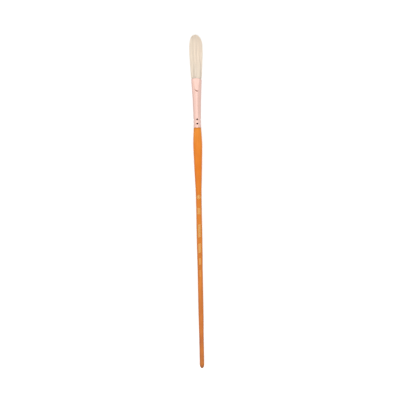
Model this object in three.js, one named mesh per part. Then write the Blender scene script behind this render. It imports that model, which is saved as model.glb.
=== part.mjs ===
// A long-handled filbert paint brush: a tuft of hog bristle in a pressed copper ferrule,
// crimped on a turned and lacquered wooden handle with small foil marks.
// The brush lies on a table. Its tuft points along +Y and the wide side of the tuft faces +Z.
// Everything is in millimetres. A place "at" along the brush is measured from the tip of the tail.
import * as THREE from 'three';

// The whole brush, and the outline of the turned handle as [radius, at]
const OVERALL_LENGTH = 342;
const TAIL_RADIUS = 2.3;
const TAIL_ROUND_LENGTH = 4.2;
const SHOULDER_RADIUS = 3.8;
const SHOULDER_AT = 246.4;
const HANDLE_OUTLINE = [
  [TAIL_RADIUS, TAIL_ROUND_LENGTH],
  [TAIL_RADIUS, 30],
  [2.6, 56],
  [2.64, 100],
  [2.93, 132],
  [2.95, 178],
  [3.46, 193],
  [4.18, 213],
  [4.6, 227],
  [4.38, 236],
  [SHOULDER_RADIUS, SHOULDER_AT],
];

// The tenon, which the ferrule is glued and crimped on, and the sleeve of glue around it
const TENON_RADIUS = 2.6;
const TENON_LENGTH = 20;
const TENON_CHAMFER = 0.6;
const GLUE_GAP = 0.15;
const GLUE_THICKNESS = 0.3;
const GLUE_LENGTH = 13;

// The ferrule: a seamless flared tube, round at the handle and pressed oval at the mouth
const WALL = 0.3;
const FERRULE_START = 246.7;
const MOUTH_AT = 296.9;
const REAR_RADIUS = 3.78;
const ROUND_UNTIL = 270;
const MOUTH_HALF_WIDTH = 5.42;
const FLARE_POWER = 1.5;
const MOUTH_HALF_THICKNESS = 3.5;
const MOUTH_ARCH = 0.9;
const MOUTH_SKEW = 0.4;

// The two flats pressed into the oval end, each with a U-shaped lower edge
const FLAT_START = 284;
const FLAT_AT_START = 3.45;
const FLAT_AT_MOUTH = 2.75;
const FLAT_EDGE_RISE = 0.3;

// The two crimped grooves, each with four punched dimples
const GROOVES_AT = [251.1, 255.2];
const GROOVE_DEPTH = 0.2;
const GROOVE_HALF_WIDTH = 1.3;
const CRIMPS_END = 258;
const DIMPLE_DEPTH = 0.25;
const DIMPLE_RADIUS = 0.8;
const DIMPLES = 4;

// The tuft: its half width and half thickness as [size, at], and its domed end
const TUFT_HALF_WIDTH = [
  [3.2, 274],
  [3.3, 281],
  [4.3, 292],
  [4.9, 296],
  [5.3, 299],
  [5.75, 307],
  [6.05, 313],
  [6.6, 325],
  [6.6, 343],
];
const TUFT_HALF_THICKNESS = [
  [3.0, 274],
  [3.0, 281],
  [2.3, 296],
  [2.7, 303],
  [2.4, 316],
  [1.7, 331],
  [0.9, 343],
];
const ROOTS_AT = 275;
const DOME_AT = 330;
const DOME_POWER = 2;
const DOME_BLUNTNESS = 0.45;
const LAYER_GAP = 0.3;
const CORE_SHARE = 0.36;
const OUTER_LAYERS_SHORTER_BY = 1.2;

// The cured epoxy that the roots are set in: a plug with a shallow socket
const PLUG_AT = 270.5;
const PLUG_LENGTH = 9;
const PLUG_FLOOR = 4.2;
const PLUG_RIM = 0.35;
const PLUG_GAP = 0.25;

// The foil marks, stamped on the upper side: name, first place, last place, half width, shape
const FOIL_LIFT = 0.06;
const FOIL_THICKNESS = 0.1;
const FOIL_END_ROUNDING = 0.5;
const LOZENGE_TAPER = 0.85;
const FOIL_MARKS = [
  ['foil_lozenge', 173.2, 178.2, 2.3, 'lozenge'],
  ['foil_short_bar', 157.6, 164.4, 1.6, 'bar'],
  ['foil_long_bar', 133.8, 148.6, 1.45, 'bar'],
  ['foil_middle_bar', 118.0, 128.6, 1.45, 'bar'],
  ['foil_thin_bar_upper', 106.4, 113.2, 0.8, 'bar'],
  ['foil_thin_bar_lower', 94.0, 101.0, 0.7, 'bar'],
];

// How finely the round shapes are cut. The facet that the handle rests on is wider than the others,
// so that the brush lies still.
const HANDLE_SEGMENTS = 28;
const RESTING_HALF_ANGLE = THREE.MathUtils.degToRad(20);
const FERRULE_SEGMENTS = 40;
const TUFT_SEGMENTS = 28;
const TUFT_RINGS_AT = [ROOTS_AT, 279, 283, 288, 293, 296, 297.5, 299, 302, 307, 313, 319, 325, DOME_AT];
const DOME_RINGS = 6;
const TUFT_END_BEVEL = 0.12;

const clamp01 = (t) => THREE.MathUtils.clamp(t, 0, 1);
const ramp = (value, from, to) => THREE.MathUtils.smoothstep(value, from, to);

// A smooth curve through a list of [size, at]
function smoothOutline(list, steps) {
  const points = list.map(([size, at]) => new THREE.Vector3(size, at, 0));
  const curve = new THREE.CatmullRomCurve3(points, false, 'centripetal');
  return curve.getPoints(steps).map((point) => new THREE.Vector2(point.x, point.y));
}

// The size that an outline has at a place
function sizeAt(outline, at) {
  const next = outline.findIndex((point) => point.y >= at);
  const from = outline[next - 1];
  const to = outline[next];
  return from.x + (to.x - from.x) * (at - from.y) / (to.y - from.y);
}

// A quarter of an ellipse, from the tip of the tail to the full radius
function tailOutline() {
  const steps = 6;
  const points = [];
  for (let i = 0; i < steps; i += 1) {
    const angle = (i / steps) * Math.PI / 2;
    points.push(new THREE.Vector2(
      TAIL_RADIUS * Math.sin(angle),
      TAIL_ROUND_LENGTH * (1 - Math.cos(angle)),
    ));
  }
  return points;
}

function tenonOutline() {
  const end = SHOULDER_AT + TENON_LENGTH;
  return [
    new THREE.Vector2(TENON_RADIUS, SHOULDER_AT),
    new THREE.Vector2(TENON_RADIUS, end - TENON_CHAMFER),
    new THREE.Vector2(TENON_RADIUS - TENON_CHAMFER, end),
    new THREE.Vector2(0, end),
  ];
}

// A turned shape with a flat facet, not a corner, at its lowest line
function turned(outline, segments) {
  return new THREE.LatheGeometry(outline, segments, Math.PI / segments, Math.PI * 2);
}

// Moves every corner of a geometry to the place that shape(corner) gives
function reshape(geometry, shape) {
  const positions = geometry.getAttribute('position');
  const corner = new THREE.Vector3();
  for (let i = 0; i < positions.count; i += 1) {
    corner.fromBufferAttribute(positions, i);
    const moved = shape(corner);
    positions.setXYZ(i, moved.x, moved.y, moved.z);
  }
  geometry.computeVertexNormals();
  return geometry;
}

// The angle of a corner around the brush, from 0 at the top, and its distance from the axis
function around(corner) {
  return { angle: Math.atan2(corner.x, corner.z), radius: Math.hypot(corner.x, corner.z) };
}

// How far the crimping has pushed the metal in at a place
function crimpDepth(angle, at, radius) {
  const pitch = Math.PI * 2 / DIMPLES;
  const aside = (angle - pitch * Math.round(angle / pitch)) * radius;
  let depth = 0;
  for (const groove of GROOVES_AT) {
    const along = at - groove;
    const grooveShape = 1 - ramp(Math.abs(along), 0, GROOVE_HALF_WIDTH);
    const dimpleShape = 1 - ramp(Math.hypot(along, aside), 0, DIMPLE_RADIUS);
    depth += GROOVE_DEPTH * grooveShape + DIMPLE_DEPTH * dimpleShape;
  }
  return depth;
}

// A place on the ferrule: its outside, or its inside when inset is the thickness of the wall
function ferrulePoint(angle, place, inset) {
  const side = Math.sin(angle);
  const nearMouth = ramp(place, FLAT_START, MOUTH_AT);
  const at = place - (MOUTH_ARCH * side * side + MOUTH_SKEW * side) * nearMouth;
  const along = clamp01((at - GROOVES_AT[1]) / (MOUTH_AT - GROOVES_AT[1]));
  const halfWidth = REAR_RADIUS + (MOUTH_HALF_WIDTH - REAR_RADIUS) * along ** FLARE_POWER;
  const pressed = ramp(at, ROUND_UNTIL, MOUTH_AT);
  const halfThickness = halfWidth + (MOUTH_HALF_THICKNESS - MOUTH_HALF_WIDTH) * pressed;
  const pushed = inset + crimpDepth(angle, at, halfWidth);
  const x = (halfWidth - pushed) * side;
  let z = (halfThickness - pushed) * Math.cos(angle);
  const flatSlope = (FLAT_AT_START - FLAT_AT_MOUTH) / (MOUTH_AT - FLAT_START);
  const flat = FLAT_AT_START - flatSlope * (at - FLAT_START) - inset;
  if (at >= FLAT_START + FLAT_EDGE_RISE * x * x && Math.abs(z) > flat) {
    z = Math.sign(z) * flat;
  }
  return new THREE.Vector3(x, at, z);
}

// Evenly spaced places from one to another, both included
function placesBetween(from, to, steps) {
  return Array.from({ length: steps + 1 }, (_, i) => from + (to - from) * i / steps);
}

function ferruleGeometry() {
  const outside = [
    ...placesBetween(FERRULE_START, CRIMPS_END, 16),
    ...placesBetween(CRIMPS_END, FLAT_START, 7).slice(1, 7),
    ...placesBetween(FLAT_START, MOUTH_AT, 9),
  ];
  const inside = [
    ...placesBetween(FERRULE_START, CRIMPS_END, 8),
    ...placesBetween(CRIMPS_END, FLAT_START, 4).slice(1, 4),
    ...placesBetween(FLAT_START, MOUTH_AT, 4),
  ].reverse();
  const outline = [
    ...outside.map((at) => new THREE.Vector2(2, at)),
    ...inside.map((at) => new THREE.Vector2(1, at)),
    new THREE.Vector2(2, FERRULE_START),
  ];
  return reshape(turned(outline, FERRULE_SEGMENTS), (corner) => {
    const { angle, radius } = around(corner);
    return ferrulePoint(angle, corner.y, radius > 1.5 ? 0 : WALL);
  });
}

// Spreads the corners of the handle so that its lowest facet has the resting width
function handleGeometry(outline) {
  const even = Math.PI / HANDLE_SEGMENTS;
  const spread = (Math.PI - RESTING_HALF_ANGLE) / (Math.PI - even);
  return reshape(turned(outline, HANDLE_SEGMENTS), (corner) => {
    const { angle, radius } = around(corner);
    const fromBottom = RESTING_HALF_ANGLE + (Math.PI - Math.abs(angle) - even) * spread;
    const side = Math.sign(angle) * radius * Math.sin(fromBottom);
    return new THREE.Vector3(side, corner.y, -radius * Math.cos(fromBottom));
  });
}

// A ring of glue between the tenon and the crimped end of the ferrule
function tenonGlueGeometry() {
  const inner = TENON_RADIUS + GLUE_GAP;
  const outer = inner + GLUE_THICKNESS;
  const start = FERRULE_START + 0.6;
  const outline = [
    new THREE.Vector2(inner, start),
    new THREE.Vector2(outer, start),
    new THREE.Vector2(outer, start + GLUE_LENGTH),
    new THREE.Vector2(inner, start + GLUE_LENGTH),
    new THREE.Vector2(inner, start),
  ];
  return turned(outline, HANDLE_SEGMENTS);
}

// The inside of the ferrule, drawn in by a margin
function insideFerrule(angle, at, margin) {
  return ferrulePoint(angle, at, WALL + margin);
}

// The plug of epoxy, oval like the ferrule around it, with a socket for the roots
function rootPlugGeometry() {
  const end = PLUG_AT + PLUG_LENGTH;
  const floor = PLUG_AT + PLUG_FLOOR;
  const outline = [
    new THREE.Vector2(0, PLUG_AT),
    new THREE.Vector2(2, PLUG_AT),
    ...placesBetween(PLUG_AT + 2, end, 4).map((at) => new THREE.Vector2(2, at)),
    ...placesBetween(floor, end, 2).reverse().map((at) => new THREE.Vector2(1, at)),
    new THREE.Vector2(0, floor),
  ];
  return reshape(turned(outline, TUFT_SEGMENTS), (corner) => {
    const { angle, radius } = around(corner);
    if (radius < 0.5) {
      return corner.clone();
    }
    return insideFerrule(angle, corner.y, radius > 1.5 ? PLUG_GAP : PLUG_GAP + PLUG_RIM);
  });
}

const tuftHalfWidth = smoothOutline(TUFT_HALF_WIDTH, 60);
const tuftHalfThickness = smoothOutline(TUFT_HALF_THICKNESS, 60);

// The tuft's outer shape: how wide and how thick it is at a place, for a layer that ends at tip
function tuftSize(at, tip) {
  const dome = clamp01((at - DOME_AT) / (tip - DOME_AT));
  return {
    halfWidth: sizeAt(tuftHalfWidth, at) * (1 - dome ** DOME_POWER) ** DOME_BLUNTNESS,
    halfThickness: sizeAt(tuftHalfThickness, at),
  };
}

// The layer of straight bristles in the middle of the tuft
function corePoint(angle, at, tip) {
  const { halfWidth, halfThickness } = tuftSize(at, tip);
  const face = CORE_SHARE * halfThickness - LAYER_GAP / 2;
  const z = THREE.MathUtils.clamp(halfThickness * Math.cos(angle), -face, face);
  return new THREE.Vector3(halfWidth * Math.sin(angle), at, z);
}

// The layer of curved bristles that closes over the core from above
function coverPoint(angle, at, tip) {
  const { halfWidth, halfThickness } = tuftSize(at, tip);
  const face = CORE_SHARE * halfThickness + LAYER_GAP / 2;
  const share = Math.sqrt(1 - (face / halfThickness) ** 2);
  const side = share * Math.sin(angle);
  const outer = halfThickness * Math.sqrt(1 - side * side);
  return new THREE.Vector3(halfWidth * side, at, Math.cos(angle) > 0 ? outer : face);
}

// A layer of the tuft from its roots to its domed tip
function tuftLayerGeometry(pointAt, tip) {
  const places = [
    ...TUFT_RINGS_AT,
    ...placesBetween(DOME_AT + 2, tip, DOME_RINGS).slice(0, DOME_RINGS),
    tip - TUFT_END_BEVEL,
  ];
  const outline = [
    new THREE.Vector2(0, ROOTS_AT),
    ...places.map((at) => new THREE.Vector2(1, at)),
    new THREE.Vector2(0, tip),
  ];
  return reshape(turned(outline, TUFT_SEGMENTS), (corner) => {
    const { angle, radius } = around(corner);
    if (radius > 0.5) {
      return pointAt(angle, corner.y, tip);
    }
    const middle = (pointAt(0, corner.y - 0.01, tip).z + pointAt(Math.PI, corner.y - 0.01, tip).z) / 2;
    return new THREE.Vector3(0, corner.y, middle);
  });
}

// How much of its full width a foil mark keeps, from -1 at one end to 1 at the other
function foilWidthShare(shape, along) {
  if (shape === 'lozenge') {
    return 1 - LOZENGE_TAPER * Math.abs(along);
  }
  return 1 - FOIL_END_ROUNDING * ramp(Math.abs(along), 0.75, 1);
}

// A foil mark: a thin plate bent around the upper side of the handle
function foilGeometry(outline, [, from, to, halfWidth, shape]) {
  const plate = new THREE.BoxGeometry(2, 2, 1, 6, 8, 1);
  return reshape(plate, (corner) => {
    const at = (from + to) / 2 + corner.y * (to - from) / 2;
    const surface = sizeAt(outline, at);
    const angle = corner.x * foilWidthShare(shape, corner.y) * Math.asin(halfWidth / surface);
    const radius = surface + FOIL_LIFT + (corner.z + 0.5) * FOIL_THICKNESS;
    return new THREE.Vector3(radius * Math.sin(angle), at, radius * Math.cos(angle));
  });
}

function material(color, roughness, metalness) {
  return new THREE.MeshStandardMaterial({ color, roughness, metalness });
}

function piece(name, geometry, look) {
  const mesh = new THREE.Mesh(geometry, look);
  mesh.name = name;
  return mesh;
}

const lacqueredWood = material(0xdd8038, 0.22, 0);
const copper = material(0xf0c4b4, 0.25, 1);
const bristle = material(0xe8dac6, 0.7, 0);
const epoxy = material(0xc9a25a, 0.35, 0);
const woodGlue = material(0xd9cba0, 0.5, 0);
const goldFoil = material(0xdeaf6a, 0.35, 1);

const turnedOutline = smoothOutline(HANDLE_OUTLINE, 34);
const brush = new THREE.Group();

const handle = handleGeometry([...tailOutline(), ...turnedOutline, ...tenonOutline()]);
brush.add(piece('handle', handle, lacqueredWood));
brush.add(piece('ferrule', ferruleGeometry(), copper));
brush.add(piece('tenon_glue', tenonGlueGeometry(), woodGlue));
brush.add(piece('root_plug', rootPlugGeometry(), epoxy));

const coverTip = OVERALL_LENGTH - OUTER_LAYERS_SHORTER_BY;
brush.add(piece('bristles_core', tuftLayerGeometry(corePoint, OVERALL_LENGTH), bristle));
brush.add(piece('bristles_front', tuftLayerGeometry(coverPoint, coverTip), bristle));
const backCover = tuftLayerGeometry(coverPoint, coverTip);
backCover.rotateY(Math.PI);
brush.add(piece('bristles_back', backCover, bristle));

for (const mark of FOIL_MARKS) {
  brush.add(piece(mark[0], foilGeometry(turnedOutline, mark), goldFoil));
}

// The brush rests on its tail and its belly: the steepest line from the tail to the rest of the handle
function restingTilt(outline) {
  const [tail, ...rest] = outline;
  const slopes = rest.map((point) => (point.x - tail.x) / (point.y - tail.y));
  return Math.atan(Math.max(...slopes) * Math.cos(RESTING_HALF_ANGLE));
}

brush.rotation.x = restingTilt(turnedOutline);
const box = new THREE.Box3().setFromObject(brush, true);
brush.position.set(-(box.min.x + box.max.x) / 2, -(box.min.y + box.max.y) / 2, -box.min.z);

const paintBrush = new THREE.Group();
paintBrush.add(brush);

export default paintBrush;
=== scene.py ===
"""A long-handled filbert paint brush: separate hog bristles, a pressed copper ferrule, a lacquered handle.

Shapes are worked out in the brush's own frame, in millimetres: x across the tuft, "at" along the
brush from the tip of the tail, z out of the wide side of the tuft. in_row_frame() then lays them
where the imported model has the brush, in metres.
"""

import math

import bpy
import numpy as np
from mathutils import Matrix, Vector


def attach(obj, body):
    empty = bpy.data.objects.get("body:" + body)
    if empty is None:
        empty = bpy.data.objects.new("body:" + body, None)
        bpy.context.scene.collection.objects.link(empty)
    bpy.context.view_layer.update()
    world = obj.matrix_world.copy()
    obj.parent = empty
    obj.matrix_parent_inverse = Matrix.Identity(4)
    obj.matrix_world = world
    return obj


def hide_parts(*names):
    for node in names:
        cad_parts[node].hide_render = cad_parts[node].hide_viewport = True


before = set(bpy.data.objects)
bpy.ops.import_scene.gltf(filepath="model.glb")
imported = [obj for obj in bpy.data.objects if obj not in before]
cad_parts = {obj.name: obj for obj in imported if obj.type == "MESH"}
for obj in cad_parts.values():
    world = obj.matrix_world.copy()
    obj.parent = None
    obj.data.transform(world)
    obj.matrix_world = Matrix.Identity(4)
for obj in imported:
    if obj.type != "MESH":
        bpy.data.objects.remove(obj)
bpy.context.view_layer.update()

MM = 0.001
TURN = 2 * math.pi

# ---------------------------------------------------------------- sizes
#
# Millimetres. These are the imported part's, with small changes: the tuft is up to 0.4 mm wider on a
# side, and the grooves, the flat's edge, the roots and the shoulder lie up to 0.7 mm from its own.

OVERALL = 342.0
TAIL_RADIUS = 2.3
TAIL_ROUND = 4.2
SHOULDER_RADIUS = 3.8
SHOULDER_AT = 246.62
HANDLE_OUTLINE = [
    (TAIL_RADIUS, TAIL_ROUND), (TAIL_RADIUS, 30), (2.6, 56), (2.64, 100), (2.93, 132), (2.95, 178),
    (3.46, 193), (4.18, 213), (4.6, 227), (4.38, 236), (SHOULDER_RADIUS, SHOULDER_AT),
]
TENON_RADIUS = 2.6
TENON_LENGTH = 20.0

WALL = 0.3
FERRULE_START = 246.7
MOUTH_AT = 296.9
REAR_RADIUS = 3.78
ROUND_UNTIL = 270.0
MOUTH_HALF_WIDTH = 5.42
FLARE_POWER = 1.5
MOUTH_HALF_THICKNESS = 3.5
MOUTH_ARCH = 0.9
MOUTH_SKEW = 0.4
FLAT_START = 284.0
FLAT_AT_START = 3.45
FLAT_AT_MOUTH = 2.75
FLAT_EDGE_RISE = 0.36
FLAT_EDGE_ASIDE = 0.45
GROOVES_AT = (250.75, 255.03)
DIMPLES = 4

TUFT_HALF_WIDTH = [
    (3.2, 274), (3.3, 281), (4.3, 292), (5.02, 296.4), (5.67, 299.2), (5.82, 303), (6.1, 307.5),
    (6.4, 312), (6.62, 318), (6.87, 323), (6.82, 328), (6.7, 332), (6.7, 343),
]
TUFT_HALF_THICKNESS = [
    (3.0, 274), (3.0, 281), (2.42, 296), (2.7, 303), (2.4, 316), (1.7, 331), (0.9, 343),
]
ROOTS_AT = 275.6
DOME_AT = 330.0
DOME_POWER = 2.0
DOME_BLUNTNESS = 0.45
CORE_SHARE = 0.36

FOIL_MARKS = {
    "foil_lozenge": (173.2, 178.2, 2.3),
    "foil_short_bar": (157.6, 164.4, 1.6),
    "foil_long_bar": (133.8, 148.6, 1.45),
    "foil_middle_bar": (118.0, 128.6, 1.45),
    "foil_thin_bar_upper": (106.4, 113.2, 0.8),
    "foil_thin_bar_lower": (94.0, 101.0, 0.7),
}

# ---------------------------------------------------------------- camera, in metres

VIEW_WIDTH = 0.4096
LENS_MM = 100.0
SENSOR_MM = 36.0
BRUSH_LEAN = math.radians(1.12)
LOOK_AT = Vector((0.00123, 0.00163, 0.0045))


def make_camera():
    """Straight above the brush, rolled a little, so that the tuft leans to the left."""
    data = bpy.data.cameras.new("camera")
    data.lens = LENS_MM
    data.sensor_width = SENSOR_MM
    data.clip_start = 0.01
    data.clip_end = 20.0
    camera = bpy.data.objects.new("camera", data)
    camera.location = LOOK_AT + Vector((0, 0, VIEW_WIDTH * LENS_MM / SENSOR_MM))
    camera.rotation_euler = (0, 0, -BRUSH_LEAN)
    bpy.context.scene.collection.objects.link(camera)
    bpy.context.scene.camera = camera


make_camera()

# ---------------------------------------------------------------- the brush's own frame


def end_of(node, side):
    """The corner of a CAD node that is furthest along the row's Y, on one side."""
    return max((v.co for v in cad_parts[node].data.vertices), key=lambda co: side * co.y)


tail_tip = np.array(end_of("handle", -1))
tuft_tip = np.array(end_of("bristles_core", 1))
along_brush = (tuft_tip - tail_tip) / np.linalg.norm(tuft_tip - tail_tip)
across_brush = np.array([1.0, 0.0, 0.0])
out_of_brush = np.cross(across_brush, along_brush)


def in_row_frame(points):
    """Points (x, at, z) in the brush's frame, in millimetres, moved to the row frame, in metres."""
    x, at, z = (points[..., i:i + 1] * MM for i in range(3))
    return tail_tip + x * across_brush + at * along_brush + z * out_of_brush


def smoothstep(value, start, end):
    t = np.clip((np.asarray(value, float) - start) / (end - start), 0, 1)
    return t * t * (3 - 2 * t)


def bump(value, half_width):
    """A smooth hill: 1 at 0, and 0 from half_width on."""
    return 1 - smoothstep(np.abs(value), 0, half_width)


def catmull_rom(outline, samples=60):
    """A centripetal Catmull-Rom curve through (size, at) pairs, as two arrays: places and sizes."""
    points = np.array(outline, float)
    points = np.vstack([2 * points[0] - points[1], points, 2 * points[-1] - points[-2]])
    curve = [points[1][None]]
    for i in range(1, len(points) - 2):
        knots = [0.0]
        for a, b in zip(points[i - 1:i + 2], points[i:i + 3]):
            knots.append(knots[-1] + math.sqrt(np.linalg.norm(b - a)))
        t = np.linspace(knots[1], knots[2], samples + 1)[1:, None]
        level = [points[i - 1 + j] for j in range(4)]
        for gap in (1, 2, 3):
            level = [blend_knots(level, knots, t, j, gap) for j in range(4 - gap)]
        curve.append(level[0])
    curve = np.vstack(curve)
    return curve[:, 1], curve[:, 0]


def blend_knots(level, knots, t, j, gap):
    """One step of the Barry-Goldman pyramid."""
    low, high = (j, j + gap) if gap < 3 else (1, 2)
    span = knots[high] - knots[low]
    return level[j] * (knots[high] - t) / span + level[j + 1] * (t - knots[low]) / span


handle_places, handle_radii = catmull_rom(HANDLE_OUTLINE)
width_places, width_sizes = catmull_rom(TUFT_HALF_WIDTH)
thickness_places, thickness_sizes = catmull_rom(TUFT_HALF_THICKNESS)


def handle_radius(at):
    return np.interp(at, handle_places, handle_radii)


# ---------------------------------------------------------------- meshes


def add_object(name, mesh, node, material):
    """Links a finished mesh as a piece that stands for a CAD node."""
    mesh.materials.append(material)
    mesh.shade_smooth()
    piece = bpy.data.objects.new(name, mesh)
    bpy.context.scene.collection.objects.link(piece)
    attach(piece, "root")
    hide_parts(node)
    return piece


def mesh_from(name, points, faces):
    mesh = bpy.data.meshes.new(name)
    mesh.from_pydata(in_row_frame(points).tolist(), [], faces)
    mesh.validate()
    mesh.update()
    return mesh


def ring_faces(rings, segments, closed=False):
    """Quads between successive rings of corners, and from the last ring to the first if closed."""
    ring = np.arange(rings if closed else rings - 1)[:, None] * segments
    step = np.arange(segments)[None]
    turn = (step + 1) % segments
    above = (ring + segments) % (rings * segments)
    quads = np.stack([ring + step, ring + turn, above + turn, above + step], -1)
    return quads.reshape(-1, 4).tolist()


def fan_faces(first, segments, centre, facing_up):
    """Triangles from one ring to a centre corner."""
    fan = []
    for i in range(segments):
        a, b = first + i, first + (i + 1) % segments
        fan.append((a, b, centre) if facing_up else (b, a, centre))
    return fan


def set_attribute(mesh, name, values):
    attribute = mesh.attributes.new(name, "FLOAT", "POINT")
    attribute.data.foreach_set("value", np.ascontiguousarray(values, np.float32).ravel())


# ---------------------------------------------------------------- materials


class Nodes:
    """A short way to write a material's node tree."""

    def __init__(self, name):
        self.material = bpy.data.materials.new(name)
        self.material.use_nodes = True
        self.tree = self.material.node_tree
        self.surface = self.tree.nodes["Principled BSDF"]

    def add(self, kind, **settings):
        node = self.tree.nodes.new(kind)
        for key, value in settings.items():
            setattr(node, key, value)
        return node

    def link(self, source, target):
        self.tree.links.new(source, target)

    def place(self, scale=(1, 1, 1)):
        """The object's own coordinates, stretched by scale."""
        coordinates = self.add("ShaderNodeTexCoord")
        mapping = self.add("ShaderNodeMapping")
        mapping.inputs["Scale"].default_value = scale
        self.link(coordinates.outputs["Object"], mapping.inputs["Vector"])
        return mapping.outputs["Vector"]

    def noise(self, vector, scale, detail=3.0, roughness=0.5):
        node = self.add("ShaderNodeTexNoise")
        node.inputs["Scale"].default_value = scale
        node.inputs["Detail"].default_value = detail
        node.inputs["Roughness"].default_value = roughness
        self.link(vector, node.inputs["Vector"])
        return node.outputs["Fac"]

    def spread(self, value, low, high, to_low=0.0, to_high=1.0):
        node = self.add("ShaderNodeMapRange")
        for key, number in zip(("From Min", "From Max", "To Min", "To Max"), (low, high, to_low, to_high)):
            node.inputs[key].default_value = number
        self.link(value, node.inputs["Value"])
        return node.outputs["Result"]

    def ramp(self, value, stops):
        """A colour ramp through (place, colour) stops."""
        node = self.add("ShaderNodeValToRGB")
        elements = node.color_ramp.elements
        elements.remove(elements[1])
        elements[0].position = stops[0][0]
        elements[0].color = (*stops[0][1], 1)
        for place, colour in stops[1:]:
            elements.new(place).color = (*colour, 1)
        self.link(value, node.inputs["Fac"])
        return node.outputs["Color"]

    def mix(self, share, first, second, kind="MIX"):
        """Two colours mixed; share, first and second are sockets or plain values."""
        node = self.add("ShaderNodeMix", data_type="RGBA", blend_type=kind)
        for index, value in ((0, share), (6, first), (7, second)):
            if isinstance(value, bpy.types.NodeSocket):
                self.link(value, node.inputs[index])
            elif index == 0:
                node.inputs[0].default_value = value
            else:
                node.inputs[index].default_value = (*value, 1)
        return node.outputs[2]

    def maths(self, operation, first, second):
        node = self.add("ShaderNodeMath", operation=operation)
        for index, value in enumerate((first, second)):
            if isinstance(value, bpy.types.NodeSocket):
                self.link(value, node.inputs[index])
            else:
                node.inputs[index].default_value = value
        return node.outputs[0]

    def attribute(self, name):
        node = self.add("ShaderNodeAttribute", attribute_name=name)
        return node.outputs["Fac"]

    def bumped(self, height, strength, distance):
        node = self.add("ShaderNodeBump")
        node.inputs["Strength"].default_value = strength
        node.inputs["Distance"].default_value = distance
        self.link(height, node.inputs["Height"])
        return node.outputs["Normal"]

    def set(self, **values):
        """Plain values on the shader's own sockets, with _ for a space in a socket's name."""
        for key, value in values.items():
            self.surface.inputs[key.replace("_", " ")].default_value = value


ROW_LENGTH = OVERALL * MM


def place_on_brush(nodes):
    """From 0 at the tail to 1 at the tip of the tuft, from the object's Y."""
    coordinates = nodes.add("ShaderNodeTexCoord")
    parts = nodes.add("ShaderNodeSeparateXYZ")
    nodes.link(coordinates.outputs["Object"], parts.inputs["Vector"])
    return nodes.spread(parts.outputs["Y"], float(tail_tip[1]), float(tail_tip[1]) + ROW_LENGTH)


LACQUER_BY_PLACE = [
    (0.000, (0.130, 0.035, 0.003)), (0.007, (0.235, 0.060, 0.003)), (0.0125, (0.440, 0.138, 0.023)),
    (0.085, (0.409, 0.107, 0.023)), (0.175, (0.497, 0.143, 0.023)), (0.330, (0.534, 0.161, 0.021)),
    (0.480, (0.602, 0.178, 0.017)), (0.600, (0.661, 0.165, 0.004)), (0.670, (0.710, 0.203, 0.012)),
    (0.714, (0.741, 0.243, 0.023)), (0.7215, (0.490, 0.150, 0.006)),
]
DARK_GRAIN = (0.36, 0.085, 0.010)
PALE_BLOTCH = (0.86, 0.30, 0.030)


def lacquered_wood():
    """Pale wood under orange lacquer, darker towards the tail."""
    nodes = Nodes("lacquered_wood")
    colour = nodes.ramp(place_on_brush(nodes), LACQUER_BY_PLACE)
    grain = nodes.noise(nodes.place((1, 0.035, 1)), 1500, 4)
    grain_share = nodes.spread(grain, 0.42, 0.72)
    colour = nodes.mix(nodes.maths("MULTIPLY", grain_share, 0.28), colour, DARK_GRAIN)
    blotches = nodes.spread(nodes.noise(nodes.place((1, 0.3, 1)), 260, 2), 0.35, 0.75)
    colour = nodes.mix(nodes.maths("MULTIPLY", blotches, 0.22), colour, PALE_BLOTCH)
    nodes.link(colour, nodes.surface.inputs["Base Color"])
    roughness = nodes.spread(nodes.noise(nodes.place(), 900, 2), 0.3, 0.7, 0.30, 0.42)
    nodes.link(roughness, nodes.surface.inputs["Roughness"])
    peel = nodes.noise(nodes.place((1, 0.5, 1)), 700, 2)
    nodes.link(nodes.bumped(peel, 0.25, 0.00002), nodes.surface.inputs["Normal"])
    nodes.set(Coat_Weight=0.6, Coat_Roughness=0.1, Specular_IOR_Level=0.0)
    return nodes.material


BRIGHT_COPPER = (0.955, 0.655, 0.575)
DULL_COPPER = (0.93, 0.61, 0.52)
# painted shade: brown, then black, laid into the ferrule's dimples, grooves and crease
BROWN_PAINTED_SHADE = (0.38, 0.14, 0.08)
BLACK_PAINTED_SHADE = (0.02, 0.005, 0.002)


def copper():
    """Bright copper with fine drawing lines, and painted shade, brown to black, down in its dimples, grooves
    and crease.
    """
    nodes = Nodes("copper")
    clouds = nodes.spread(nodes.noise(nodes.place((1, 0.4, 1)), 240, 3), 0.3, 0.75)
    colour = nodes.mix(clouds, BRIGHT_COPPER, DULL_COPPER)
    # painted shade from the ferrule's mesh: the dimples, grooves and crease turn brown, then black, with no
    # metal sheen there
    painted_shade = nodes.attribute("painted_shade")
    colour = nodes.mix(nodes.spread(painted_shade, 0.05, 0.6), colour, BROWN_PAINTED_SHADE)
    colour = nodes.mix(nodes.spread(painted_shade, 0.45, 0.8), colour, BLACK_PAINTED_SHADE)
    nodes.link(colour, nodes.surface.inputs["Base Color"])
    nodes.link(nodes.spread(painted_shade, 0.4, 0.8, 1.0, 0.0), nodes.surface.inputs["Metallic"])
    lines = nodes.noise(nodes.place((1, 0.02, 1)), 5200, 3)
    roughness = nodes.spread(lines, 0.3, 0.7, 0.17, 0.27)
    roughness = nodes.maths("ADD", roughness, nodes.maths("MULTIPLY", painted_shade, 0.35))
    nodes.link(roughness, nodes.surface.inputs["Roughness"])
    nodes.link(nodes.bumped(lines, 0.25, 0.00001), nodes.surface.inputs["Normal"])
    nodes.set(Specular_IOR_Level=0.0)
    return nodes.material


BRISTLE_TONES = [
    (0.00, (0.88, 0.74, 0.61)), (0.25, (0.94, 0.82, 0.69)), (0.55, (0.96, 0.86, 0.74)),
    (0.80, (0.96, 0.85, 0.70)), (1.00, (0.98, 0.90, 0.80)),
]
BRISTLE_STREAK = (0.95, 0.84, 0.69)
# painted shade on the bristles just out of the ferrule's mouth
BRISTLE_SHADE_AT_MOUTH = (0.66, 0.57, 0.47)


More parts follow.
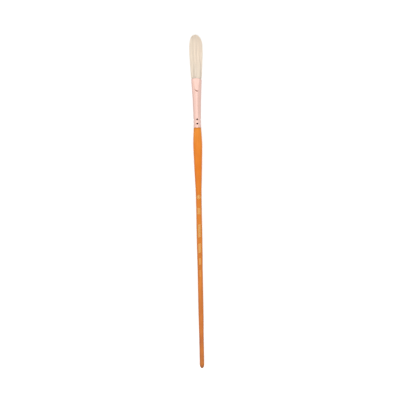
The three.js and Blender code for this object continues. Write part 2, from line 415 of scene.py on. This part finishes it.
def hog_bristle():
    """Bleached hog bristle: each hair has its own tone, with painted shade down by the ferrule."""
    nodes = Nodes("hog_bristle")
    colour = nodes.ramp(nodes.attribute("tone"), BRISTLE_TONES)
    streaks = nodes.spread(nodes.noise(nodes.place((1, 0.05, 1)), 2200, 2), 0.35, 0.7)
    colour = nodes.mix(nodes.maths("MULTIPLY", streaks, 0.25), colour, BRISTLE_STREAK)
    # painted shade: the bristles darken towards the ferrule's mouth
    shade_from, shade_to = (MOUTH_AT - 1) / OVERALL, (MOUTH_AT + 23) / OVERALL
    low = nodes.spread(place_on_brush(nodes), shade_from, shade_to, 0.65, 0.0)
    colour = nodes.mix(low, colour, BRISTLE_SHADE_AT_MOUTH)
    nodes.link(colour, nodes.surface.inputs["Base Color"])
    nodes.set(Roughness=0.5, IOR=1.54)
    return nodes.material


GOLD = (0.78, 0.49, 0.17)
WORN_GOLD = (0.66, 0.22, 0.03)


def gold_foil():
    """Thin gold foil, worn through in small spots to the lacquer under it, more so towards the tail."""
    nodes = Nodes("gold_foil")
    worn = nodes.spread(nodes.noise(nodes.place(), 2600, 3), 0.56, 0.66)
    handled = nodes.spread(place_on_brush(nodes), 0.29, 0.345, 0.72, 0.1)
    worn = nodes.maths("MAXIMUM", worn, handled)
    colour = nodes.mix(worn, GOLD, WORN_GOLD)
    nodes.link(colour, nodes.surface.inputs["Base Color"])
    nodes.link(nodes.spread(worn, 0, 1, 0.32, 0.45), nodes.surface.inputs["Roughness"])
    nodes.set(Metallic=0.85)
    return nodes.material


def clouded(name, stretch, scale, dark, light, roughness):
    """A cast or smeared filler, cloudy between two colours and between two roughnesses."""
    nodes = Nodes(name)
    clouds = nodes.noise(nodes.place(stretch), scale, 3)
    nodes.link(nodes.ramp(clouds, [(0.3, dark), (0.7, light)]), nodes.surface.inputs["Base Color"])
    nodes.link(nodes.spread(clouds, 0.3, 0.7, *roughness), nodes.surface.inputs["Roughness"])
    nodes.link(nodes.bumped(clouds, 0.4, 0.0001), nodes.surface.inputs["Normal"])
    return nodes.material


def cured_epoxy():
    return clouded("cured_epoxy", (1, 1, 1), 420, (0.42, 0.25, 0.07), (0.62, 0.42, 0.16), (0.18, 0.4))


def dried_glue():
    return clouded("dried_glue", (1, 0.3, 1), 700, (0.58, 0.50, 0.30), (0.74, 0.68, 0.48), (0.4, 0.65))


# ---------------------------------------------------------------- handle

HANDLE_SEGMENTS = 144
HANDLE_RINGS = 330
RESTING_HALF_ANGLE = math.radians(20)
BODY_STOPS_BEFORE = 0.5
SHOULDER_TURNS_BEFORE = 0.3
SHOULDER_EASE = 0.22
TENON_FOOT = 0.15
TENON_TIP = [(0.0, 0.6), (0.15, 0.25), (0.6, 0.0)]


def handle_profile():
    """(radius, at) down the handle: rounded tail, turned outline, eased shoulder, tenon."""
    tail = [(TAIL_RADIUS * math.sin(a), TAIL_ROUND * (1 - math.cos(a))) for a in np.linspace(0.04, 1.5, 22)]
    body_places = np.linspace(TAIL_ROUND, SHOULDER_AT - BODY_STOPS_BEFORE, HANDLE_RINGS)
    body = [(float(handle_radius(at)), float(at)) for at in body_places]
    shoulder = float(handle_radius(SHOULDER_AT - SHOULDER_TURNS_BEFORE))
    edge = [
        (shoulder - SHOULDER_EASE * (1 - math.cos(a)), SHOULDER_AT - SHOULDER_EASE * (1 - math.sin(a)))
        for a in np.linspace(0, math.pi / 2, 6)
    ]
    end = SHOULDER_AT + TENON_LENGTH
    foot = [(TENON_RADIUS + TENON_FOOT, SHOULDER_AT), (TENON_RADIUS, SHOULDER_AT + 0.1)]
    tip = [(TENON_RADIUS - inward, end - back) for inward, back in TENON_TIP]
    return np.array(tail + body + edge + foot + tip)


def resting_flat(angles):
    """The share of its radius that the handle keeps where it is flattened to rest on."""
    from_bottom = np.abs(angles - math.pi)
    flat = math.cos(RESTING_HALF_ANGLE) / np.cos(from_bottom)
    return np.where(from_bottom < RESTING_HALF_ANGLE, flat, 1.0)


def make_handle(material):
    profile = handle_profile()
    angles = np.arange(HANDLE_SEGMENTS) / HANDLE_SEGMENTS * TURN
    radius, at = profile[:, :1], profile[:, 1:]
    # the lacquer was dipped, so it is never quite even
    uneven = 0.012 * np.sin(at * 0.21 + 2 * angles) + 0.008 * np.sin(at * 0.57 - 3 * angles + 1.0)
    radius = radius + uneven * smoothstep(at, 2, 8) * (1 - smoothstep(at, 240, 246))
    radius = radius * resting_flat(angles)
    rings = np.stack([radius * np.sin(angles), at + 0 * angles, radius * np.cos(angles)], -1)
    count = rings.shape[0] * HANDLE_SEGMENTS
    points = np.vstack([rings.reshape(-1, 3), [[0, 0, 0]], [[0, profile[-1, 1], 0]]])
    faces = ring_faces(rings.shape[0], HANDLE_SEGMENTS)
    faces += fan_faces(0, HANDLE_SEGMENTS, count, False)
    faces += fan_faces(count - HANDLE_SEGMENTS, HANDLE_SEGMENTS, count + 1, True)
    mesh = mesh_from("turned_handle", points, faces)
    return add_object("turned_handle", mesh, "handle", material)


# ---------------------------------------------------------------- ferrule

FERRULE_SEGMENTS = 200
GROOVE_DEPTH = 0.17
GROOVE_HALF_WIDTH = 1.05
RIDGE_HEIGHT = 0.07
RIDGE_HALF_WIDTH = 1.1
DIMPLE_DEPTH = 0.3
DIMPLE_RADIUS = 1.16
CREASE_DEPTH = 0.16
CREASE_HALF_WIDTH = 0.85
CREASE_ENDS = (-2.5, 2.1)
CREASE_FADE = 6
CREASE_BEFORE_EDGE = 0.15
FLAT_BLEND = (-0.25, 0.45)
# the painted shade in a dimple, from where it starts to where it is full
DIMPLE_SHADE_DEPTHS = (0.02, 0.16)
ROUNDED_EDGE = WALL / 2


def crimps(angles, at, radius):
    """How far the crimping pushed the metal in, and how deep each place lies in a dimple."""
    pitch = TURN / DIMPLES
    aside = (angles - pitch * np.round(angles / pitch)) * radius
    pushed = np.zeros(np.broadcast(angles, at).shape)
    dimpled = np.zeros(pushed.shape)
    for groove in GROOVES_AT:
        along = at - groove
        pushed += GROOVE_DEPTH * bump(along, GROOVE_HALF_WIDTH)
        dimpled += bump(np.hypot(along, aside), DIMPLE_RADIUS)
    middle = (GROOVES_AT[0] + GROOVES_AT[1]) / 2
    for ridge in (middle, 2 * GROOVES_AT[0] - middle, 2 * GROOVES_AT[1] - middle):
        pushed -= RIDGE_HEIGHT * bump(at - ridge, RIDGE_HALF_WIDTH)
    return pushed + DIMPLE_DEPTH * dimpled, dimpled


def ferrule_points(angles, place, inset):
    """Corners of the ferrule's wall and the painted shade in its creases. inset is 0 outside and WALL inside.
    """
    side = np.sin(angles)
    near_mouth = smoothstep(place, FLAT_START, MOUTH_AT)
    at = place - (MOUTH_ARCH * side ** 2 + MOUTH_SKEW * side) * near_mouth
    along = np.clip((at - GROOVES_AT[1]) / (MOUTH_AT - GROOVES_AT[1]), 0, 1)
    half_width = REAR_RADIUS + (MOUTH_HALF_WIDTH - REAR_RADIUS) * along ** FLARE_POWER
    pressed = smoothstep(at, ROUND_UNTIL, MOUTH_AT)
    half_thickness = half_width + (MOUTH_HALF_THICKNESS - MOUTH_HALF_WIDTH) * pressed
    pushed, dimpled = crimps(angles, at, half_width)
    dents = 0.010 * np.sin(at * 0.9 + 3 * angles) + 0.007 * np.sin(at * 1.7 - 5 * angles + 2.0)
    dents = dents * smoothstep(at, 257, 260)
    x = (half_width - inset - pushed + dents) * side
    z = (half_thickness - inset - pushed + dents) * np.cos(angles)
    slope = (FLAT_AT_START - FLAT_AT_MOUTH) / (MOUTH_AT - FLAT_START)
    flat = FLAT_AT_START - slope * (at - FLAT_START) - inset
    past_edge = at - (FLAT_START + FLAT_EDGE_RISE * (x - FLAT_EDGE_ASIDE) ** 2)
    over = np.maximum(np.abs(z) - flat, 0)
    z = z - np.sign(z) * over * smoothstep(past_edge, *FLAT_BLEND)
    reach = np.clip((x - CREASE_ENDS[0]) * (CREASE_ENDS[1] - x) / CREASE_FADE, 0, 1)
    on_wide_side = np.cos(angles) ** 2 > 0.2
    crease = bump(past_edge + CREASE_BEFORE_EDGE, CREASE_HALF_WIDTH) * reach * on_wide_side
    z = z - np.sign(z) * CREASE_DEPTH * crease
    # painted shade: dark in the dimples, along the crease and in the grooves
    painted_shade = smoothstep(dimpled, *DIMPLE_SHADE_DEPTHS) + 1.15 * crease + 0.4 * pushed
    return np.stack([x, at, z], -1), np.clip(painted_shade, 0, 1)


def ferrule_rim(at, outwards, inset_from, inset_to):
    """Places and insets that round the wall over from one face to the other. outwards is 1 or -1."""
    angles = np.linspace(0, math.pi, 7)[1:-1]
    middle = (inset_from + inset_to) / 2
    return [(at + outwards * ROUNDED_EDGE * math.sin(a), middle + (inset_from - middle) * math.cos(a))
            for a in angles]


def make_ferrule(material):
    first, last = FERRULE_START + ROUNDED_EDGE, MOUTH_AT - ROUNDED_EDGE
    outside = np.concatenate([
        np.linspace(first, 258, 90),
        np.linspace(258, 283, 40)[1:],
        np.linspace(283, 288.5, 36)[1:],
        np.linspace(288.5, last, 20)[1:],
    ])
    inside = np.concatenate([
        np.linspace(last, 283, 24),
        np.linspace(283, 258, 12)[1:],
        np.linspace(258, first, 40)[1:],
    ])
    steps = [(at, 0.0) for at in outside]
    steps += ferrule_rim(last, 1, 0.0, WALL)
    steps += [(at, WALL) for at in inside]
    steps += ferrule_rim(first, -1, WALL, 0.0)
    steps = np.array(steps)
    angles = np.arange(FERRULE_SEGMENTS) / FERRULE_SEGMENTS * TURN
    points, painted_shade = ferrule_points(angles[None], steps[:, :1], steps[:, 1:])
    faces = ring_faces(len(steps), FERRULE_SEGMENTS, closed=True)
    mesh = mesh_from("copper_ferrule", points.reshape(-1, 3), faces)
    set_attribute(mesh, "painted_shade", painted_shade)
    return add_object("copper_ferrule", mesh, "ferrule", material)


# ---------------------------------------------------------------- bristles

BRISTLES = 2100
BRISTLE_SIDES = 6
BRISTLE_RADIUS = 0.085
GOLDEN_ANGLE = math.pi * (3 - math.sqrt(5))
SPLIT_HAIRS = 2
SPLIT_HAIR_RADII = (0.030, 0.024, 0.012)
TIP_LEAN = 0.5
TIP_FALL = 1.4
SHORT_BY = 0.5
SHORT_BY_MOST = 3.0
ROOTS_SPREAD = 3.5
LOCK_WAVES = 5
LOCK_DRIFT = 0.20
BEND_ACROSS = 0.10
BEND_OUT = 0.07
STRAYS = 0.03
PULL_IN_MOST = 0.9


def tuft_half_width(at):
    return np.interp(at, width_places, width_sizes)


def tuft_half_thickness(at):
    return np.interp(at, thickness_places, thickness_sizes)


def tip_place(aside, outward, random):
    """Where a bristle ends: on the dome, by how far aside it stands, a little lower further out."""
    dome = (1 - np.clip(aside, 0, 0.985) ** (1 / DOME_BLUNTNESS)) ** (1 / DOME_POWER)
    tip = DOME_AT + (OVERALL - DOME_AT) * dome
    short_by = np.minimum(random.exponential(SHORT_BY, len(aside)), SHORT_BY_MOST)
    return tip - TIP_FALL * outward ** 2 - short_by


def clump_shift(x, z, along, phases):
    """A slow sideways drift that neighbours share, so that the hair gathers in soft locks."""
    drift = np.zeros(along.shape)
    for waves_x, waves_z, waves_along, phase in phases:
        drift += np.sin(waves_x * x + waves_z * z + waves_along * along + phase)
    return drift / len(phases)


def bristle_lines(random):
    """Centre lines of all bristles: (bristles, steps, 3), and how far along its length each step is."""
    index = np.arange(BRISTLES) + 0.5
    rho = np.sqrt(index / BRISTLES) * (1 - 0.012 * random.random(BRISTLES))
    theta = index * GOLDEN_ANGLE
    side = rho * np.sin(theta)
    out = rho * np.cos(theta)
    tip = tip_place(np.abs(side), np.abs(out), random)
    root = ROOTS_AT + ROOTS_SPREAD * random.random(BRISTLES)
    hidden, at_mouth = np.linspace(0, 0.27, 3)[:-1], np.linspace(0.27, 0.42, 5)[:-1]
    share = np.concatenate([hidden, at_mouth, np.linspace(0.42, 1, 9)])
    at = root[:, None] + (tip - root)[:, None] * share
    phases = [
        (random.uniform(2, 9), random.uniform(2, 5), random.uniform(0.02, 0.09), random.uniform(0, TURN))
        for _ in range(LOCK_WAVES)
    ]
    free = smoothstep(at, MOUTH_AT, MOUTH_AT + 22)
    drift_x = LOCK_DRIFT * clump_shift(side[:, None] * 1.6, out[:, None], at, phases) * free
    own = random.normal(0, 1, (BRISTLES, 2))
    bend_x = own[:, :1] * BEND_ACROSS * free ** 1.5
    bend_z = own[:, 1:] * BEND_OUT * free ** 1.5
    x = side[:, None] * (tuft_half_width(at) - BRISTLE_RADIUS) + drift_x + bend_x
    x = x - TIP_LEAN * smoothstep(at, DOME_AT + 3, OVERALL)
    z = out[:, None] * (tuft_half_thickness(at) - BRISTLE_RADIUS) + bend_z
    from_middle = np.hypot(x / tuft_half_width(at), z / tuft_half_thickness(at))
    keep_in = np.minimum(1, 1 / np.maximum(from_middle, 1e-6))
    stray = random.random(BRISTLES)[:, None] < STRAYS
    keep_in = np.where(stray, 1, np.maximum(keep_in, PULL_IN_MOST))
    return np.stack([x * keep_in, at, z * keep_in], -1), share, out


def tubes(lines, radii, sides, spin):
    """Corners and faces of closed round tubes along many lines at once, pointed at their far ends."""
    count, steps = lines.shape[:2]
    turn = np.arange(sides) / sides * TURN + spin[:, None]
    ring = np.stack([np.sin(turn), np.zeros_like(turn), np.cos(turn)], -1)
    corners = lines[:, :, None] + radii[:, :, None, None] * ring[:, None]
    corners = corners.reshape(count, steps * sides, 3)
    ends = np.stack([lines[:, 0], lines[:, -1] + np.array([0, 0.08, 0])], 1)
    points = np.concatenate([corners, ends], 1)
    pattern = ring_faces(steps, sides)
    last = steps * sides
    pattern_fans = fan_faces(0, sides, last, False) + fan_faces(last - sides, sides, last + 1, True)
    size = last + 2
    faces = []
    for i in range(count):
        base = i * size
        faces += [tuple(base + c for c in face) for face in pattern]
        faces += [tuple(base + c for c in face) for face in pattern_fans]
    return points.reshape(-1, 3), faces, size


def split_hairs(lines, random):
    """The flagged ends: fine hairs that leave each bristle a little before its tip."""
    hairs = []
    for _ in range(SPLIT_HAIRS):
        start = lines[:, -2] + (lines[:, -1] - lines[:, -2]) * random.uniform(0.0, 0.5, (len(lines), 1))
        end = lines[:, -1] + np.stack([
            random.normal(0, 0.14, len(lines)),
            random.uniform(-0.6, 0.1, len(lines)),
            random.normal(0, 0.10, len(lines)),
        ], -1)
        end[:, 1] = np.minimum(end[:, 1], OVERALL - 0.1)
        middle = (start + end) / 2 + (end - start) * np.array([-0.15, 0.0, -0.15])
        hairs.append(np.stack([start, middle, end], 1))
    return np.concatenate(hairs)


def make_bristles(name, node, chosen, lines, share, random, material):
    """One layer of the tuft: every chosen bristle with its split end."""
    lines = lines[chosen]
    count = len(lines)
    size_of = random.uniform(0.85, 1.12, count)[:, None]
    taper = BRISTLE_RADIUS * (1 - 0.5 * smoothstep(share, 0.25, 1.0))
    points, faces, size = tubes(lines, size_of * taper, BRISTLE_SIDES, random.uniform(0, TURN, count))
    tone = np.repeat(random.random(count), size)
    hairs = split_hairs(lines, random)
    thin = np.array(SPLIT_HAIR_RADII) * np.ones((len(hairs), 1))
    hair_points, hair_faces, hair_size = tubes(hairs, thin, 3, random.uniform(0, TURN, len(hairs)))
    base = len(points)
    faces += [tuple(base + c for c in face) for face in hair_faces]
    tone = np.concatenate([tone, np.repeat(random.uniform(0.4, 1.0, len(hairs)), hair_size)])
    mesh = mesh_from(name, np.concatenate([points, hair_points]), faces)
    set_attribute(mesh, "tone", tone)
    return add_object(name, mesh, node, material)


def make_tuft(material):
    random = np.random.default_rng(11)
    lines, share, out = bristle_lines(random)
    layers = {
        "bristles_front": ("front_bristles", out > CORE_SHARE),
        "bristles_core": ("core_bristles", np.abs(out) <= CORE_SHARE),
        "bristles_back": ("back_bristles", out < -CORE_SHARE),
    }
    for node, (name, chosen) in layers.items():
        make_bristles(name, node, chosen, lines, share, random, material)


# ---------------------------------------------------------------- foil marks

FOIL_LIFT = 0.035
FOIL_THICKNESS = 0.02
LOZENGE_SPREAD = 1.15
UPRIGHT_STROKES = (1.1, 0.62, 0.0)
SLANTED_STROKES = (0.95, 0.55, 0.8)


def foil_plate(corners, across_steps=6, along_steps=2):
    """A thin plate bent round the handle. corners are four (arc, at) places, anticlockwise from above."""
    (a0, s0), (a1, s1), (a2, s2), (a3, s3) = corners
    u = np.linspace(0, 1, across_steps + 1)[None]
    v = np.linspace(0, 1, along_steps + 1)[:, None]
    arc = (1 - v) * ((1 - u) * a0 + u * a1) + v * ((1 - u) * a3 + u * a2)
    at = (1 - v) * ((1 - u) * s0 + u * s1) + v * ((1 - u) * s3 + u * s2)
    layers = []
    for lift in (FOIL_LIFT, FOIL_LIFT + FOIL_THICKNESS):
        radius = handle_radius(at) + lift
        angle = arc / handle_radius(at)
        layers.append(np.stack([radius * np.sin(angle), at, radius * np.cos(angle)], -1).reshape(-1, 3))
    wide, count = across_steps + 1, layers[0].shape[0]
    faces = []
    for j in range(along_steps):
        for i in range(across_steps):
            a = j * wide + i
            faces.append((a + wide, a + wide + 1, a + 1, a))
            faces.append((count + a, count + a + 1, count + a + wide + 1, count + a + wide))
    rim = list(range(wide)) + [j * wide + across_steps for j in range(1, along_steps + 1)]
    rim += [along_steps * wide + i for i in range(across_steps - 1, -1, -1)]
    rim += [j * wide for j in range(along_steps - 1, 0, -1)]
    for a, b in zip(rim, rim[1:] + rim[:1]):
        faces.append((a, b, count + b, count + a))
    return np.concatenate(layers), faces


def row_of_strokes(start, end, half, pitch, width, slant):
    """A row of plain strokes that fills a bar."""
    strokes = []
    for at in np.arange(start + width, end - width - abs(slant), pitch):
        strokes.append([(-half, at), (half, at + slant), (half, at + slant + width), (-half, at + width)])
    return strokes


def lozenge_frame(start, end, half):
    """Four sides of a lozenge, with a small solid lozenge inside."""
    middle, reach = (start + end) / 2, (end - start) / 2
    outer = [(0, start), (half, middle), (0, end), (-half, middle)]
    inner = [(0, start + 0.3 * reach), (0.7 * half, middle), (0, end - 0.3 * reach), (-0.7 * half, middle)]
    sides = [[outer[i], outer[(i + 1) % 4], inner[(i + 1) % 4], inner[i]] for i in range(4)]
    core = [(0, start + 0.55 * reach), (0.45 * half, middle), (0, end - 0.55 * reach), (-0.45 * half, middle)]
    return sides + [core]


def line_pair(start, end, half):
    """Two lines along a bar, with a gap between them."""
    gap = 0.25 * half
    return [
        [(-half, start), (-gap, start), (-gap, end), (-half, end)],
        [(gap, start), (half, start), (half, end), (gap, end)],
    ]


def foil_patterns():
    """The strokes of each mark, as lists of corners: plain shapes, and no letters or figures."""
    patterns = {}
    for name, (start, end, half) in FOIL_MARKS.items():
        if name == "foil_lozenge":
            patterns[name] = lozenge_frame(start, end, half * LOZENGE_SPREAD)
        elif name == "foil_short_bar":
            patterns[name] = row_of_strokes(start, end, half, *UPRIGHT_STROKES)
        elif "thin" in name:
            patterns[name] = line_pair(start, end, half)
        else:
            patterns[name] = row_of_strokes(start, end, half, *SLANTED_STROKES)
    return patterns


def make_foil(material):
    for name, strokes in foil_patterns().items():
        points, faces, base = [], [], 0
        for stroke in strokes:
            plate, plate_faces = foil_plate(stroke)
            points.append(plate)
            faces += [tuple(base + c for c in face) for face in plate_faces]
            base += len(plate)
        mesh = mesh_from(name + "_stamped", np.concatenate(points), faces)
        piece = add_object(name + "_stamped", mesh, name, material)
        piece.data.shade_flat()


# ---------------------------------------------------------------- inner pieces, as packed


def dress(node, material):
    """Gives a CAD node a finished material in its own slots."""
    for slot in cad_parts[node].material_slots:
        slot.material = material


# ---------------------------------------------------------------- floor and light, in metres

FLOOR_SIZE = 12
FLOOR_DROP = 0.00005
FLOOR_GREY = 0.65
FLOOR_GLOW = 0.45
ROOM_BRIGHTNESS = 0.85
LIGHTS = [
    ("overhead_softbox", (-0.2, 0.0, 1.6), (2.2, 1.6), 0.25),
    ("left_softbox", (-1.9, 0.0, 1.1), (1.2, 1.6), 0.15),
    ("softbox_past_the_tuft", (0.0, 1.5, 1.2), (1.2, 2.0), 0.5),
    ("softbox_past_the_tail", (0.0, -1.5, 1.2), (1.2, 2.0), 2.7),
]


def make_floor():
    """A plain pale floor that glows a little to the camera, so that it looks as white as paper."""
    bpy.ops.mesh.primitive_plane_add(size=FLOOR_SIZE, location=(0, 0, -FLOOR_DROP))
    floor = bpy.context.object
    floor.name = "floor"
    material = bpy.data.materials.new("pale_floor")
    material.use_nodes = True
    surface = material.node_tree.nodes["Principled BSDF"]
    surface.inputs["Base Color"].default_value = (FLOOR_GREY, FLOOR_GREY, FLOOR_GREY, 1)
    surface.inputs["Roughness"].default_value = 0.9
    surface.inputs["Emission Color"].default_value = (1, 1, 1, 1)
    rays = material.node_tree.nodes.new("ShaderNodeLightPath")
    seen = material.node_tree.nodes.new("ShaderNodeMath")
    seen.operation = "MULTIPLY"
    seen.inputs[1].default_value = FLOOR_GLOW
    material.node_tree.links.new(rays.outputs["Is Camera Ray"], seen.inputs[0])
    material.node_tree.links.new(seen.outputs[0], surface.inputs["Emission Strength"])
    floor.data.materials.append(material)


def make_light(name, place, size, brightness):
    """A soft box that faces the middle of the brush and looks as bright as stated from there."""
    data = bpy.data.lights.new(name, "AREA")
    data.shape = "RECTANGLE"
    data.size, data.size_y = size
    data.energy = brightness * math.pi * size[0] * size[1]
    light = bpy.data.objects.new(name, data)
    light.location = place
    light.rotation_euler = (Vector((0, 0, 0)) - Vector(place)).to_track_quat("-Z", "Y").to_euler()
    bpy.context.scene.collection.objects.link(light)


def make_world():
    world = bpy.data.worlds.new("white_room")
    world.use_nodes = True
    background = world.node_tree.nodes["Background"]
    background.inputs["Color"].default_value = (1, 1, 1, 1)
    background.inputs["Strength"].default_value = ROOM_BRIGHTNESS
    bpy.context.scene.world = world


def set_look():
    view = bpy.context.scene.view_settings
    view.view_transform = "Standard"
    view.look = "None"
    view.exposure = 0.0


make_handle(lacquered_wood())
make_ferrule(copper())
make_tuft(hog_bristle())
make_foil(gold_foil())
dress("root_plug", cured_epoxy())
dress("tenon_glue", dried_glue())
make_floor()
for name, place, size, brightness in LIGHTS:
    make_light(name, place, size, brightness)
make_world()
set_look()
